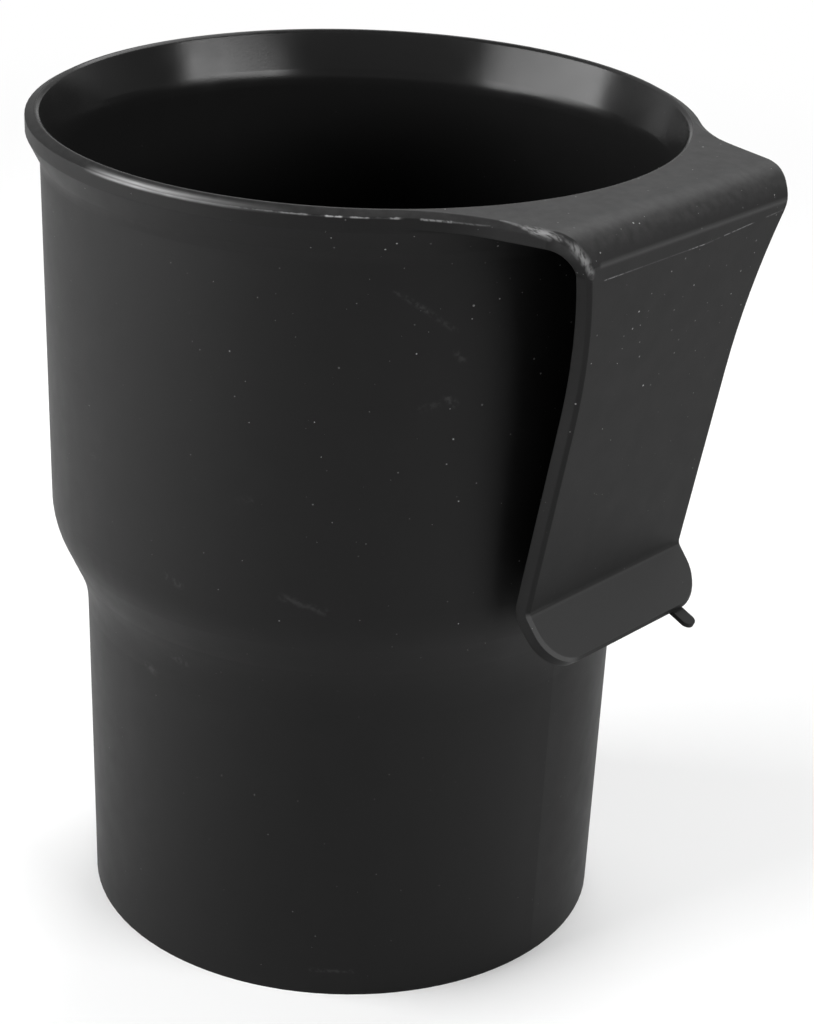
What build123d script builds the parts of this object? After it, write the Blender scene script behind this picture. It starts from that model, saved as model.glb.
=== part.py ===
"""Car cup holder: a stepped cup with a spring clip that hooks over a panel, moulded in one piece."""
import os
from math import asin, atan2, cos, degrees, hypot, radians, sin, tan

from build123d import *

# Cup, outside
holder_height = 116.6
rim_radius = 45.4
rim_side = 2.6
rim_flare_height = 6.4
sleeve_top_radius = 43.5
sleeve_low_radius = 42.65
shoulder_rise = 10.3
pocket_height = 48.3
pocket_top_radius = 37.9
base_radius = 37.0
shoulder_convex = 13.5
shoulder_concave = 16.9
rim_blend = 3.4

# Cup, inside
wall = 2.0
floor_thickness = 2.2
floor_corner = 1.0
rim_width = 1.8
mouth_depth = 6.6
mouth_blend = 8.0

# Clip: bridge, bend, blade and lip
bridge_reach = 4.77
bridge_thickness = 2.05
bridge_end_width = 46.8
bridge_taper = 14.5
bridge_blend = 24.0
bend_radius = 4.95
bend_proud = 0.4
blade_thickness = 2.1
blade_top_width = 40.6
blade_width = 33.0
blade_straight = 26.9
fold_height = 62.6
fold_gap = 0.7
fold_radius = 1.2
lip_length = 8.1
lip_flare = 39.0
lip_corner = 5.6

# Gate tab on the lower edge of the lip
tab_width = 2.2
tab_length = 3.2
tab_thickness = 0.6
tab_droop = 23.0
tab_offset = 10.4
tab_inset = 0.95

# Edge breaks: the rim and bridge fall away to a crisp outer edge
crown_width = 1.2
crown_drop = 0.65
mouth_edge = 0.3
clip_edge = 0.45

shoulder_top = pocket_height + shoulder_rise
flare_bottom = holder_height - rim_flare_height
mouth_bottom = holder_height - mouth_depth
mouth_radius = rim_radius - rim_width


def sleeve_radius(height):
    """Outside radius of the upper wall at a height."""
    share = (height - shoulder_top) / (flare_bottom - shoulder_top)
    return sleeve_low_radius + share * (sleeve_top_radius - sleeve_low_radius)


def corner(sketch, radius, height):
    """The vertex of a sketch nearest to a point."""
    return sketch.vertices().sort_by_distance((radius, height, 0))[0]


# Side view of the clip: the blade's inner face runs from the fold to touch the inside of the bend
bridge_end = rim_radius + bridge_reach
bend_height = holder_height - bend_radius
fold_inside = sleeve_radius(fold_height) + fold_gap
fold_to_bend = hypot(bridge_end - fold_inside, bend_height - fold_height)
bend_angle = atan2(bridge_end - fold_inside, bend_height - fold_height)
lean = bend_angle + asin((bend_radius - bend_proud - blade_thickness) / fold_to_bend)
flare = radians(lip_flare)

# Directions of blade and lip, and the turning points of their outer face
across = Vector(0, 1, 0)
blade_out = Vector(cos(lean), 0, -sin(lean))
blade_down = Vector(-sin(lean), 0, -cos(lean))
lip_out = Vector(cos(flare), 0, sin(flare))
lip_down = Vector(sin(flare), 0, -cos(flare))
bend_finish = Vector(bridge_end, 0, bend_height) + blade_out * bend_radius
blade_top = bend_finish - blade_out * bend_proud
fold_trim = fold_radius * tan((lean + flare) / 2)
fold_corner = Vector(fold_inside + blade_thickness / cos(lean), 0, fold_height)
fold_top = fold_corner - blade_down * fold_trim
fold_low = fold_corner + lip_down * fold_trim

with BuildPart() as blade:
    blade_length = (blade_top - fold_top).length
    with BuildSketch(Plane(blade_top, across, blade_out)):
        with BuildLine():
            side = Line((blade_width / 2, -blade_length), (blade_width / 2, blade_straight - blade_length))
            TangentArc(side @ 1, (blade_top_width / 2, 0), tangent=side % 1)
            Polyline((blade_top_width / 2, 0), (0, 0), (0, -blade_length), side @ 0)
        make_face()
        mirror(about=Plane.YZ)
    extrude(amount=-blade_thickness)
    face = blade.faces().sort_by(Axis(blade_top, blade_out))[-1]
    chamfer(face.edges().filter_by(lambda edge: abs((edge @ 0.5).Y) > 1), clip_edge)

with BuildPart() as lip:
    with BuildSketch(Plane(fold_low, across, lip_out)) as lip_outline:
        Rectangle(blade_width, lip_length - fold_trim, align=(Align.CENTER, Align.MAX))
        fillet(lip_outline.vertices().group_by(Axis.Y)[0], lip_corner)
    extrude(amount=-blade_thickness)
    face = lip.faces().sort_by(Axis(fold_low, lip_out))[-1]
    chamfer(face.edges().sort_by(Axis(fold_low, lip_down))[1:], clip_edge)

    # Fold between blade and lip
    with BuildLine(Plane.XZ) as fold_path:
        TangentArc((fold_top.X, fold_top.Z), (fold_low.X, fold_low.Z), tangent=(blade_down.X, blade_down.Z))
    with BuildSketch(Plane(fold_top, across, blade_down)) as fold_section:
        Rectangle(blade_width, blade_thickness, align=(Align.CENTER, Align.MAX))
        chamfer(fold_section.vertices().group_by(Axis.Y)[-1], clip_edge)
    sweep(path=fold_path.line)

    # Gate tab, out of the end face of the lip
    droop = radians(tab_droop)
    tab_root = fold_corner + lip_down * lip_length - lip_out * tab_inset + across * tab_offset
    with BuildSketch(Plane(tab_root, (cos(droop), 0, -sin(droop)), (sin(droop), 0, cos(droop)))):
        with Locations((tab_length - tab_width / 2, 0)):
            Circle(tab_width / 2)
            Rectangle(tab_length, tab_width, align=(Align.MAX, Align.CENTER))
    extrude(amount=tab_thickness / 2, both=True)

with BuildPart() as cup_holder:
    with BuildSketch(Plane.XZ) as body:
        with BuildLine():
            Polyline(
                (0, 0),
                (base_radius, 0),
                (pocket_top_radius, pocket_height),
                (sleeve_low_radius, shoulder_top),
                (sleeve_top_radius, flare_bottom),
                (rim_radius, holder_height - rim_side),
                (rim_radius, holder_height),
                (0, holder_height),
                close=True,
            )
        make_face()
        fillet(corner(body, pocket_top_radius, pocket_height), shoulder_concave)
        fillet(corner(body, sleeve_low_radius, shoulder_top), shoulder_convex)
        fillet(corner(body, sleeve_top_radius, flare_bottom), rim_blend)
    revolve(axis=Axis.Z)

    # Rim and bridge in one plan, with the bridge running out of the rim
    with BuildSketch(Plane.XY.offset(holder_height)) as plan:
        bridge_half = bridge_end_width / 2
        root_half = bridge_half + bridge_end * tan(radians(bridge_taper))
        Circle(rim_radius)
        with BuildLine():
            Polyline(
                (0, root_half),
                (bridge_end, bridge_half),
                (bridge_end, -bridge_half),
                (0, -root_half),
                close=True,
            )
        make_face()
        fillet(plan.vertices().filter_by(lambda point: 1 < point.X < bridge_end - 1), bridge_blend)
    extrude(amount=-bridge_thickness)

    with BuildSketch(Plane.XZ) as cavity:
        with BuildLine():
            Polyline(
                (0, floor_thickness),
                (base_radius - wall, floor_thickness),
                (pocket_top_radius - wall, pocket_height),
                (sleeve_low_radius - wall, shoulder_top),
                (sleeve_top_radius - wall, mouth_bottom),
                (mouth_radius, holder_height),
                (0, holder_height),
                close=True,
            )
        make_face()
        fillet(corner(cavity, pocket_top_radius - wall, pocket_height), shoulder_concave + wall)
        fillet(corner(cavity, sleeve_low_radius - wall, shoulder_top), shoulder_convex - wall)
        fillet(corner(cavity, sleeve_top_radius - wall, mouth_bottom), mouth_blend)
        chamfer(corner(cavity, base_radius - wall, floor_thickness), floor_corner)
    revolve(axis=Axis.Z, mode=Mode.SUBTRACT)

    # Crown on the outline of rim and bridge, and the broken edge of the mouth
    top_face = cup_holder.faces().sort_by(Axis.Z)[-1]
    outline = top_face.outer_wire().edges().sort_by(Axis.X)[:-1]
    mouth = top_face.inner_wires().edges()
    chamfer(outline, crown_width, crown_drop, reference=top_face)
    chamfer(mouth, mouth_edge)

    # Bend, narrowing from the end of the bridge to the top of the blade
    bridge_face = cup_holder.faces().sort_by(Axis.X)[-1]
    with BuildLine(Plane.XZ) as bend_path:
        CenterArc((bridge_end, bend_height), bend_radius, 90, -90 - degrees(lean))
    with BuildSketch(Plane(bend_finish, across, blade_down)) as bend_last:
        Rectangle(blade_top_width, blade_thickness + bend_proud, align=(Align.CENTER, Align.MAX))
        chamfer(bend_last.vertices().group_by(Axis.Y)[-1], clip_edge + bend_proud)
    sweep(sections=[bridge_face, bend_last.sketch.face()], path=bend_path.line, multisection=True)

    # Crease across the bend, where the blade's outer face runs into it
    with BuildSketch(Plane(blade_top, across, blade_out)):
        Rectangle(bridge_end_width, bend_radius)
    extrude(amount=bend_radius, mode=Mode.SUBTRACT)

    add(blade.part)
    add(lip.part)

cup_holder.part.label = "cup_holder"
os.makedirs("parts", exist_ok=True)
export_step(cup_holder.part, "parts/cup_holder.step")
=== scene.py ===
"""Looks of the car cup holder: black satin plastic with dust, scuffs and worn edges, and painted highlights
on the rim crown, the lip and the crease, in a white studio.
"""
from math import cos, radians, sin
from types import SimpleNamespace

import bpy
from mathutils import Matrix, Vector

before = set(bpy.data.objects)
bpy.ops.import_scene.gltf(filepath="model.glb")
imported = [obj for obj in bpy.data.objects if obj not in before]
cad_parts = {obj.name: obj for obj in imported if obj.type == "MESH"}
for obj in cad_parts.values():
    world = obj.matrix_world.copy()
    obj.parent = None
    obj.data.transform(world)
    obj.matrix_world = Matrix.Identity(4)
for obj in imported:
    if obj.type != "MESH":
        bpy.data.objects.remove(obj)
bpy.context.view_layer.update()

# Camera, in metres and degrees, in the frame of the part, with the lens in millimetres
CAMERA_PLACE = Vector((0.23164, -0.25726, 0.21236))
CAMERA_HEADING = -40.711
CAMERA_PITCH = -24.093
CAMERA_ROLL = 2.338
CAMERA_LENS = 92.9
CAMERA_CLIP = 0.01

# Directions of the studio: from the part towards the camera, and to the right of the picture
VIEW_AZIMUTH = radians(42)
TO_CAMERA = Vector((sin(VIEW_AZIMUTH), -cos(VIEW_AZIMUTH), 0))
TO_RIGHT = Vector((cos(VIEW_AZIMUTH), sin(VIEW_AZIMUTH), 0))
UP = Vector((0, 0, 1))

# Soft lamps: degrees to the right of the camera and above the level, distance, size in metres, and watts
LAMP_AIM = Vector((0, 0, 0.11))
SOFTBOXES = {
    "key": (160, 53, 0.7, (0.5, 0.5), 3.7),
    "left_softbox": (-76, 12, 0.48, (0.48, 0.18), 4.2),
    "right_softbox": (54, 15, 0.5, (0.37, 0.09), 2.0),
}

# Backdrop: its light on the surfaces as a share of what is seen of it, and its brightness by height
WORLD_LIGHT = 0.15
BACKDROP = ((0.0, 1.0), (0.28, 0.28), (0.5, 0.95), (0.7, 1.0), (0.88, 0.4), (1.0, 0.15))

# Floor, in metres: plain white has a small share near the part and takes over between two distances
FLOOR_SIZE = 4
FLOOR_GREY = 0.95
FLOOR_ROUGHNESS = 0.9
FLOOR_WHITE = 0.12
FLOOR_FADE = (0.22, 0.5)
WHITE = (1, 1, 1, 1)

# Black plastic: grey levels, from clean to worn, with painted sheen and highlights among them
PLASTIC_IOR = 1.238
BLACK = 0.0035
DUSTED_INSIDE = 0.009
TOP_FILM = 0.013
BEND_FILM = 0.026
# painted sheen: the lip's outer face and the crease above the flash line are painted lighter where light
# falls on them
PAINTED_SHEEN = 0.026
# painted highlight along the lip's broken left edge
LIP_EDGE_HIGHLIGHT = 0.046
SCUFFED = 0.05
# worn edges, rim nicks and the flash line, and the painted highlight on the rim crown
WORN_AND_HIGHLIGHT = 0.42
DUSTY = 0.3

# Roughness outside, inside the mouth and where worn, and its swing with the mottle
SATIN = 0.52
SMOOTH = 0.2
WORN_ROUGHNESS = 0.6
ROUGHNESS_SWING = 0.12

# Softness of the edges and depth of the surface grain, in metres
EDGE_ROUNDING = 0.00025
EDGE_SAMPLES = 6
RELIEF_DEPTH = 0.00002
RELIEF_STRENGTH = 0.25

# Noises: bumps per millimetre and detail
GRAIN = (1.6, 2.0)
MOTTLE = (0.25, 3.0)
CHIPS = (2.4, 3.0)
BAND_BREAKUP = (1.5, 2.0)
CLOUD = (0.8, 5.0)
RELIEF = (2.6, 2.0)
NOISE_MIDDLE = 0.5

# From here on, places are in millimetres. A SPAN runs from where a mark has faded out to where it is full,
# and a LEVEL is the gain and the base that turn one value into another.
MILLIMETRES = 1000.0
BLACK_LEVEL = (BLACK / 2, BLACK * 0.75)

# Dust specks: cells per millimetre, radius, and how they crowd high up and near the clip
SPECK_SCALE = 0.88
SPECK_RADIUS = 0.15
SPECK_HEIGHT_SPAN = (40, 105)
SPECK_OUT_SPAN = (0, 36)
SPECK_CROWD_LEVEL = (0.55, 0.45)
SPECK_GREY_LEVEL = (0.85, 0.15)
SPECK_INSIDE_LEVEL = (-0.7, 1.0)

# Dust film on the top and on the bend
CLOUD_SPAN = (0.2, 0.8)
TOP_HEIGHT_SPAN = (115.7, 116.4)
BEND_HEIGHT_SPAN = (112.9, 115.4)
BEND_OUT_SPAN = (49.5, 53)
BEND_LEVEL = (0.6, 0.4)

# Inside of the mouth: radius of the wall and of the funnel by height
WALL_LEVEL = (0.02, 40.8)
FUNNEL_LEVEL = (0.2, 20.68)
INSIDE_SPAN = (0.05, -0.05)
INSIDE_HEIGHT_SPAN = (61, 65)

# Rim: nicks along its ragged outer edge and a painted highlight on a stretch of its crown, both by degrees
# round the rim
NICK_RAGGED = 0.3
NICK_INNER_SPAN = (45.44, 45.54)
NICK_OUTER_SPAN = (45.6, 45.45)
NICK_HEIGHT_SPAN = (115.72, 115.95)
NICK_LEVEL = (0.25, 0.5)
RIM_NICKS = (
    (-76, 0), (-68, 0.3), (-60.5, 0.3), (-60, 0.5), (-56.5, 0.5), (-56, 0.1), (-53.7, 0.1),
    (-53.4, 1), (-51.2, 1), (-50.8, 0.1), (-49.9, 0.1), (-49.6, 0.9), (-47.2, 0.7), (-46.8, 0.1),
    (-43.9, 0.1), (-43.6, 0.8), (-42.5, 0.7), (-42.1, 0.1), (-41.5, 0),
)
CROWN_SPAN = (44.4, 45.1)
CROWN_HEIGHT_SPAN = (115.5, 115.9)
BAND_BREAKUP_PER_DEGREE = 0.05
BAND_BREAKUP_ACROSS = 2.2
BAND_BREAKUP_LEVEL = (1.8, 0.1)
# the painted highlight on the rim crown, by degrees round the rim
RIM_HIGHLIGHT_BAND = ((-98, 0), (-93, 0.32), (-86, 0.62), (-80, 0.52), (-73, 0.25), (-66, 0.1), (-58, 0))

# Flash line on the blade: level up to a turn and rising beyond it, with dashes by millimetres across
FLASH_TURN = 3
FLASH_SLOPE = 0.057
FLASH_HEIGHT = 110.45
FLASH_WIDTH_SPAN = (0.11, 0.04)
FLASH_OUT_SPAN = (54, 54.3)
FLASH_GRAIN_SPAN = (0.3, 0.5)
FLASH_DASHES = (
    (-17.5, 0), (-17, 0.25), (-14.5, 0.22), (-13, 0.1), (-9, 0.04), (-0.5, 0.05),
    (0, 0.2), (2.6, 0.24), (3.2, 0.05), (6.6, 0.04), (7, 0.2), (13, 0.18), (13.4, 0),
    (15.8, 0), (16.2, 0.12), (19.7, 0.1), (20.2, 0),
)

# Lip: the way its outer face looks, where it lies, and how far its face and its broken edge turn that way;
# both get painted light
LIP_TILT = radians(39)
LIP_OUT = (cos(LIP_TILT), 0, sin(LIP_TILT))
LIP_HEIGHT_SPAN = (63, 62.2)
LIP_OUT_SPAN = (44.5, 45.2)
LIP_FACE_SPAN = (0.93, 0.97)
LIP_EDGE_SPAN = (0.45, 0.6)
LIP_EDGE_END_SPAN = (0.93, 0.8)
LIP_LEFT_SPAN = (-10.5, -13)

# Streaks: start, end, half width and strength, with the noise that breaks them up
CHIP_STRETCH = (0.4, 1.6, 0.5)
CHIP_SPAN = (0.34, 0.58)
WEAR_LEVEL = (0.8, 0.2)
EDGE_WEAR = (
    ((35.6, -28.97, 115.93), (38.6, -27.05, 115.94), 0.25, 0.4),
    ((38.6, -27.05, 115.94), (42.9, -25.05, 116.0), 0.2, 0.15),
    ((43.5, -23.7, 116.6), (47.5, -23.2, 116.35), 0.35, 0.3),
    ((46.8, -23.3, 116.4), (48.6, -23.0, 116.25), 0.6, 0.45),
    ((48.2, -23.1, 116.25), (50.2, -22.7, 116.1), 0.95, 0.6),
    ((50.0, -22.75, 116.1), (51.4, -22.4, 116.0), 0.65, 0.45),
    ((51.3, -22.4, 116.0), (53.0, -21.65, 115.2), 0.5, 0.2),
    ((53.0, -21.65, 115.2), (54.4, -20.9, 113.4), 0.85, 0.35),
    ((54.4, -20.9, 113.4), (54.9, -20.1, 111.6), 0.7, 0.25),
)
SCUFF_GRAIN_SPAN = (0.4, 0.62)
SCUFFS = (
    ((-8.5, -42.0, 75.7), (17.8, -39.0, 76.7), 0.8, 0.25),
    ((32.0, -29.0, 106.0), (34.6, -26.0, 103.4), 0.6, 0.36),
    ((34.6, -26.0, 103.4), (36.7, -23.0, 100.7), 0.6, 0.24),
    ((36.3, -23.4, 91.8), (36.8, -22.6, 90.9), 0.9, 0.3),
    ((34.3, -26.1, 90.5), (35.9, -24.0, 91.2), 0.7, 0.2),
    ((36.8, -22.7, 97.8), (37.2, -22.0, 96.8), 0.8, 0.25),
    ((21.6, -36.9, 63.7), (26.2, -33.7, 62.1), 0.9, 0.2),
    ((5.7, -42.3, 63.2), (8.0, -41.9, 62.4), 0.9, 0.22),
    ((-2.6, -37.8, 45.2), (-1.4, -37.8, 44.8), 1.1, 0.25),
    ((3.2, -38.2, 48.8), (4.8, -38.0, 48.4), 1.1, 0.22),
    ((21.8, -29.9, 3.9), (26.2, -26.2, 3.9), 0.5, 0.3),
)
# a painted highlight along the convex crease above the flash line
CREASE_HIGHLIGHT = (((55.0, -18.6, 112.7), (55.0, 20.2, 112.7), 0.6, 0.9),)


def feed(tree, socket, value):
    """Links an input of a node to a socket, or sets it to a plain value."""
    if isinstance(value, bpy.types.NodeSocket):
        tree.links.new(value, socket)
    else:
        socket.default_value = value


def node(tree, kind, **settings):
    """A new node, with its options set and its inputs fed by name."""
    made = tree.nodes.new(kind)
    for name, value in settings.items():
        if hasattr(made, name):
            setattr(made, name, value)
        else:
            feed(tree, made.inputs[name.replace("_", " ")], value)
    return made


def maths(tree, operation, *values):
    """The result of a Math node on numbers or sockets."""
    made = node(tree, "ShaderNodeMath", operation=operation)
    for socket, value in zip(made.inputs, values):
        feed(tree, socket, value)
    return made.outputs[0]


def vector_maths(tree, operation, *values):
    """The results of a Vector Math node on vectors or sockets."""
    made = node(tree, "ShaderNodeVectorMath", operation=operation)
    for socket, value in zip(made.inputs, values):
        feed(tree, socket, value)
    return made.outputs


def product(tree, *values):
    """Values multiplied with each other."""
    result = values[0]
    for value in values[1:]:
        result = maths(tree, "MULTIPLY", result, value)
    return result


def scaled(tree, value, gain, base):
    """A value times a gain, plus a base."""
    return maths(tree, "MULTIPLY_ADD", value, gain, base)


def blend(tree, first, second, share):
    """A value that goes from the first to the second."""
    rest = maths(tree, "SUBTRACT", 1, share)
    return scaled(tree, share, second, product(tree, rest, first))


def fade(tree, value, start, end):
    """0 at the start and 1 at the end of a span of a value, smooth between."""
    made = node(tree, "ShaderNodeMapRange", Value=value, From_Min=start, From_Max=end)
    made.interpolation_type = "SMOOTHSTEP"
    return made.outputs["Result"]


def ramp(tree, value, stops):
    """A grey level that runs through stops of value and level."""
    low = stops[0][0]
    span = stops[-1][0] - low
    share = maths(tree, "DIVIDE", maths(tree, "SUBTRACT", value, low), span)
    made = node(tree, "ShaderNodeValToRGB", Fac=share)
    marks = made.color_ramp.elements
    marks.remove(marks[1])
    for position, level in stops:
        mark = marks[0] if position == low else marks.new((position - low) / span)
        mark.color = (level, level, level, 1)
    return made.outputs["Color"]


def noise(tree, point, scale, detail):
    """Cloudy noise from 0 to 1, with its scale in bumps per millimetre."""
    return node(tree, "ShaderNodeTexNoise", Vector=point, Scale=scale, Detail=detail).outputs[0]


def add_camera():
    """The photograph's view."""
    heading = radians(CAMERA_HEADING)
    pitch = radians(CAMERA_PITCH)
    roll = radians(CAMERA_ROLL)
    forward = Vector((sin(heading) * cos(pitch), cos(heading) * cos(pitch), sin(pitch)))
    level = forward.cross(UP).normalized()
    above = level.cross(forward)
    right = level * cos(roll) + above * sin(roll)
    axes = Matrix((right, right.cross(forward), -forward)).transposed()
    camera = bpy.data.objects.new("camera", bpy.data.cameras.new("camera"))
    camera.data.lens = CAMERA_LENS
    camera.data.clip_start = CAMERA_CLIP
    camera.matrix_world = Matrix.Translation(CAMERA_PLACE) @ axes.to_4x4()
    bpy.context.collection.objects.link(camera)
    bpy.context.scene.camera = camera


def add_softbox(name, turn, rise, distance, size, power):
    """A soft lamp that faces the part, at degrees to the right of the camera and above the level."""
    level = TO_CAMERA * cos(radians(turn)) + TO_RIGHT * sin(radians(turn))
    towards = level * cos(radians(rise)) + UP * sin(radians(rise))
    data = bpy.data.lights.new(name, "AREA")
    data.shape = "RECTANGLE"
    data.size, data.size_y = size
    data.energy = power
    lamp = bpy.data.objects.new(name, data)
    lamp.location = LAMP_AIM + towards * distance
    lamp.rotation_euler = (-towards).to_track_quat("-Z", "Y").to_euler()
    lamp.visible_camera = False
    bpy.context.collection.objects.link(lamp)


def seen_directly(tree):
    """1 for what the camera sees, in a reflection or through glass too, and 0 for light on the surfaces."""
    path = node(tree, "ShaderNodeLightPath").outputs
    seen = maths(tree, "MAXIMUM", path["Is Camera Ray"], path["Is Glossy Ray"])
    return maths(tree, "MAXIMUM", seen, path["Is Transmission Ray"])


def add_floor():
    """A pale floor that keeps the part's shadow, and goes over into the white backdrop further off."""
    bpy.ops.mesh.primitive_plane_add(size=FLOOR_SIZE)
    floor = bpy.context.object
    floor.name = "floor"
    material = bpy.data.materials.new("floor")
    material.use_nodes = True
    tree = material.node_tree
    shader = tree.nodes["Principled BSDF"]
    shader.inputs["Base Color"].default_value = (FLOOR_GREY, FLOOR_GREY, FLOOR_GREY, 1)
    shader.inputs["Roughness"].default_value = FLOOR_ROUGHNESS
    place = node(tree, "ShaderNodeTexCoord").outputs["Object"]
    further = fade(tree, vector_maths(tree, "LENGTH", place)["Value"], *FLOOR_FADE)
    white = product(tree, blend(tree, FLOOR_WHITE, 1.0, further), seen_directly(tree))
    backdrop = node(tree, "ShaderNodeEmission", Color=WHITE)
    mixed = node(tree, "ShaderNodeMixShader", Fac=white)
    tree.links.new(shader.outputs[0], mixed.inputs[1])
    tree.links.new(backdrop.outputs[0], mixed.inputs[2])
    tree.links.new(mixed.outputs[0], tree.nodes["Material Output"].inputs["Surface"])
    floor.data.materials.append(material)


def add_world():
    """A backdrop that is white at eye level and darker overhead, and weaker as light than to the eye."""
    world = bpy.data.worlds.new("studio")
    bpy.context.scene.world = world
    world.use_nodes = True
    tree = world.node_tree
    direction = node(tree, "ShaderNodeTexCoord").outputs["Generated"]
    height = node(tree, "ShaderNodeSeparateXYZ", Vector=direction).outputs["Z"]
    background = tree.nodes["Background"]
    tree.links.new(ramp(tree, height, BACKDROP), background.inputs["Color"])
    tree.links.new(blend(tree, WORLD_LIGHT, 1.0, seen_directly(tree)), background.inputs["Strength"])


def places(tree):
    """Places on the part: the point, its coordinates, its distance from the axis and its angle."""
    metres = node(tree, "ShaderNodeTexCoord").outputs["Object"]
    point = node(tree, "ShaderNodeVectorMath", operation="SCALE", Scale=MILLIMETRES)
    tree.links.new(metres, point.inputs[0])
    out, across, height = node(tree, "ShaderNodeSeparateXYZ", Vector=point.outputs[0]).outputs
    squares = maths(tree, "ADD", product(tree, out, out), product(tree, across, across))
    return SimpleNamespace(
        point=point.outputs[0],
        out=out,
        across=across,
        height=height,
        radius=maths(tree, "SQRT", squares),
        angle=maths(tree, "DEGREES", maths(tree, "ARCTAN2", across, out)),
    )


def streak(tree, point, start, end, half_width):
    """1 along a line between two points and 0 beyond its half width."""
    along = Vector(end) - Vector(start)
    away = vector_maths(tree, "SUBTRACT", point, start)[0]
    share = vector_maths(tree, "DOT_PRODUCT", away, along / along.length_squared)["Value"]
    clamped = node(tree, "ShaderNodeClamp", Value=share).outputs[0]
    nearest = node(tree, "ShaderNodeVectorMath", operation="SCALE", Scale=clamped)
    nearest.inputs[0].default_value = along
    distance = vector_maths(tree, "DISTANCE", away, nearest.outputs[0])["Value"]
    return fade(tree, distance, half_width, 0)


def streaks(tree, point, lines):
    """All the streaks of a list."""
    marks = 0.0
    for start, end, half_width, strength in lines:
        mark = product(tree, streak(tree, point, start, end, half_width), strength)
        marks = maths(tree, "MAXIMUM", marks, mark)
    return marks


def lip_faces(tree, at):
    """Masks for painted light: the outer face of the lip, painted lighter, and a painted highlight on the
    broken edge along its left end.
    """
    normal = node(tree, "ShaderNodeNewGeometry").outputs["Normal"]
    turned = vector_maths(tree, "DOT_PRODUCT", normal, LIP_OUT)["Value"]
    here = product(tree, fade(tree, at.height, *LIP_HEIGHT_SPAN), fade(tree, at.out, *LIP_OUT_SPAN))
    face = product(tree, here, fade(tree, turned, *LIP_FACE_SPAN))
    edge = product(tree, here, fade(tree, turned, *LIP_EDGE_SPAN), fade(tree, turned, *LIP_EDGE_END_SPAN))
    return face, product(tree, edge, fade(tree, at.across, *LIP_LEFT_SPAN))


def dust_specks(tree, at):
    """Pin-prick specks of dust, more of them high up and near the clip."""
    cells = node(tree, "ShaderNodeTexVoronoi", Vector=at.point, Scale=SPECK_SCALE)
    chance = node(tree, "ShaderNodeTexWhiteNoise", Vector=cells.outputs["Color"])
    size, level, _ = node(tree, "ShaderNodeSeparateColor", Color=chance.outputs["Color"]).outputs
    high_up = fade(tree, at.height, *SPECK_HEIGHT_SPAN)
    near_clip = fade(tree, at.out, *SPECK_OUT_SPAN)
    crowd = scaled(tree, product(tree, high_up, near_clip), *SPECK_CROWD_LEVEL)
    reach = product(tree, maths(tree, "POWER", size, 2), crowd, SPECK_RADIUS * SPECK_SCALE)
    inside = maths(tree, "LESS_THAN", cells.outputs["Distance"], reach)
    return product(tree, inside, scaled(tree, product(tree, level, level), *SPECK_GREY_LEVEL))


def dust_film(tree, at):
    """Cloudy film of dust on the top, and on the bend."""
    cloud = fade(tree, noise(tree, at.point, *CLOUD), *CLOUD_SPAN)
    top = product(tree, fade(tree, at.height, *TOP_HEIGHT_SPAN), cloud)
    bend = product(tree, fade(tree, at.height, *BEND_HEIGHT_SPAN), fade(tree, at.out, *BEND_OUT_SPAN))
    return top, product(tree, bend, scaled(tree, cloud, *BEND_LEVEL))


def rim_nicks_and_highlight(tree, at, grain, chips):
    """Nicks along the rim's outer edge, and a painted highlight on a stretch of the crown."""
    ragged = scaled(tree, grain, NICK_RAGGED, at.radius)
    edge = product(tree, fade(tree, ragged, *NICK_INNER_SPAN), fade(tree, at.radius, *NICK_OUTER_SPAN))
    edge = product(tree, edge, fade(tree, at.height, *NICK_HEIGHT_SPAN))
    nicks = product(tree, edge, ramp(tree, at.angle, RIM_NICKS), scaled(tree, chips, *NICK_LEVEL))
    round_rim = product(tree, at.angle, BAND_BREAKUP_PER_DEGREE)
    across_rim = product(tree, at.radius, BAND_BREAKUP_ACROSS)
    unrolled = node(tree, "ShaderNodeCombineXYZ", X=round_rim, Y=across_rim)
    band_breakup = noise(tree, unrolled.outputs[0], *BAND_BREAKUP)
    crown = product(tree, fade(tree, at.radius, *CROWN_SPAN), fade(tree, at.height, *CROWN_HEIGHT_SPAN))
    # painted highlight on the crown, broken up by noise
    highlight_band = product(tree, crown, ramp(tree, at.angle, RIM_HIGHLIGHT_BAND), scaled(tree, band_breakup, *BAND_BREAKUP_LEVEL))
    return maths(tree, "MAXIMUM", nicks, highlight_band)


def flash_line(tree, at, grain):
    """Broken moulding flash across the top of the blade."""
    rise = maths(tree, "MAXIMUM", maths(tree, "SUBTRACT", at.across, FLASH_TURN), 0)
    level = scaled(tree, rise, FLASH_SLOPE, FLASH_HEIGHT)
    off = maths(tree, "ABSOLUTE", maths(tree, "SUBTRACT", at.height, level))
    line = product(tree, fade(tree, off, *FLASH_WIDTH_SPAN), fade(tree, at.out, *FLASH_OUT_SPAN))
    return product(tree, line, ramp(tree, at.across, FLASH_DASHES), fade(tree, grain, *FLASH_GRAIN_SPAN))


def worn_and_highlit_places(tree, at, grain):
    """Pale wear on the edges of the clip and nicks on the rim, a painted highlight on the rim crown, and
    the flash line.
    """
    stretched = vector_maths(tree, "MULTIPLY", at.point, CHIP_STRETCH)[0]
    chips = fade(tree, noise(tree, stretched, *CHIPS), *CHIP_SPAN)
    worn_and_highlight = product(tree, streaks(tree, at.point, EDGE_WEAR), scaled(tree, chips, *WEAR_LEVEL))
    worn_and_highlight = maths(tree, "MAXIMUM", worn_and_highlight, rim_nicks_and_highlight(tree, at, grain, chips))
    return maths(tree, "MAXIMUM", worn_and_highlight, flash_line(tree, at, grain))


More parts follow.
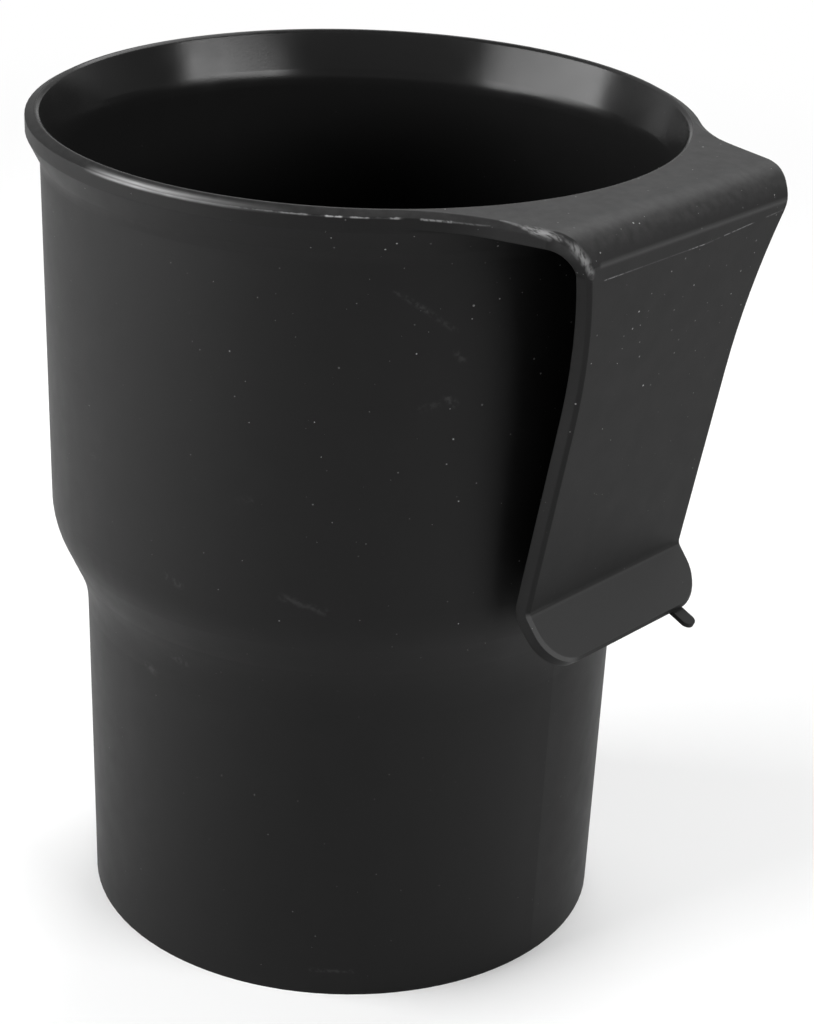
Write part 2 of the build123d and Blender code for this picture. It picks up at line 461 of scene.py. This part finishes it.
def inside_mouth(tree, at):
    """1 on the upper inner wall and the funnel of the mouth, 0 outside."""
    wall = scaled(tree, at.height, *WALL_LEVEL)
    funnel = scaled(tree, at.height, *FUNNEL_LEVEL)
    limit = maths(tree, "MAXIMUM", wall, funnel)
    within = fade(tree, maths(tree, "SUBTRACT", at.radius, limit), *INSIDE_SPAN)
    return product(tree, within, fade(tree, at.height, *INSIDE_HEIGHT_SPAN))


def soft_grain(tree, at):
    """Normal of the surface, with fine grain and softened edges."""
    rounded = node(tree, "ShaderNodeBevel", samples=EDGE_SAMPLES, Radius=EDGE_ROUNDING)
    relief = noise(tree, at.point, *RELIEF)
    bump = node(tree, "ShaderNodeBump", Height=relief, Normal=rounded.outputs[0])
    bump.inputs["Strength"].default_value = RELIEF_STRENGTH
    bump.inputs["Distance"].default_value = RELIEF_DEPTH
    return bump.outputs[0]


def black_plastic():
    """Satin black plastic with fine grain, dust, scuffs and worn edges, and painted highlights on the rim
    crown, the lip and the crease.
    """
    material = bpy.data.materials.new("black_plastic")
    material.use_nodes = True
    tree = material.node_tree
    shader = tree.nodes["Principled BSDF"]
    shader.inputs["IOR"].default_value = PLASTIC_IOR

    # Marks of moulding and use
    at = places(tree)
    grain = noise(tree, at.point, *GRAIN)
    mottle = noise(tree, at.point, *MOTTLE)
    worn_and_highlight = worn_and_highlit_places(tree, at, grain)
    scuffs = product(tree, streaks(tree, at.point, SCUFFS), fade(tree, grain, *SCUFF_GRAIN_SPAN))
    # masks for painted light: the lip's face and left edge, and the crease above the flash line
    lip_face_sheen, lip_edge_highlight = lip_faces(tree, at)
    sheen_mask = maths(tree, "MAXIMUM", lip_face_sheen, streaks(tree, at.point, CREASE_HIGHLIGHT))
    inside = inside_mouth(tree, at)
    specks = product(tree, dust_specks(tree, at), scaled(tree, inside, *SPECK_INSIDE_LEVEL))

    # Colour, one mark over the other
    grey = scaled(tree, mottle, *BLACK_LEVEL)
    top_film, bend_film = dust_film(tree, at)
    grey = blend(tree, grey, DUSTED_INSIDE, inside)
    grey = blend(tree, grey, TOP_FILM, top_film)
    grey = blend(tree, grey, BEND_FILM, bend_film)
    # painted sheen on the lip and the crease, and a painted highlight on the lip's left edge
    grey = blend(tree, grey, PAINTED_SHEEN, sheen_mask)
    grey = blend(tree, grey, LIP_EDGE_HIGHLIGHT, lip_edge_highlight)
    grey = blend(tree, grey, SCUFFED, scuffs)
    # wear, nicks and the flash line, with the painted highlight on the rim crown
    grey = blend(tree, grey, WORN_AND_HIGHLIGHT, worn_and_highlight)
    grey = blend(tree, grey, DUSTY, specks)
    tree.links.new(grey, shader.inputs["Base Color"])

    # Roughness and relief
    rough = blend(tree, SATIN, SMOOTH, inside)
    rough = scaled(tree, maths(tree, "SUBTRACT", mottle, NOISE_MIDDLE), ROUGHNESS_SWING, rough)
    rough = blend(tree, rough, WORN_ROUGHNESS, maths(tree, "MAXIMUM", worn_and_highlight, specks))
    tree.links.new(rough, shader.inputs["Roughness"])
    tree.links.new(soft_grain(tree, at), shader.inputs["Normal"])
    return material


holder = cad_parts["cup_holder"]
holder.data.materials.clear()
holder.data.materials.append(black_plastic())

add_camera()
add_floor()
add_world()
for lamp_name, lamp_setting in SOFTBOXES.items():
    add_softbox(lamp_name, *lamp_setting)

bpy.context.scene.view_settings.view_transform = "Standard"
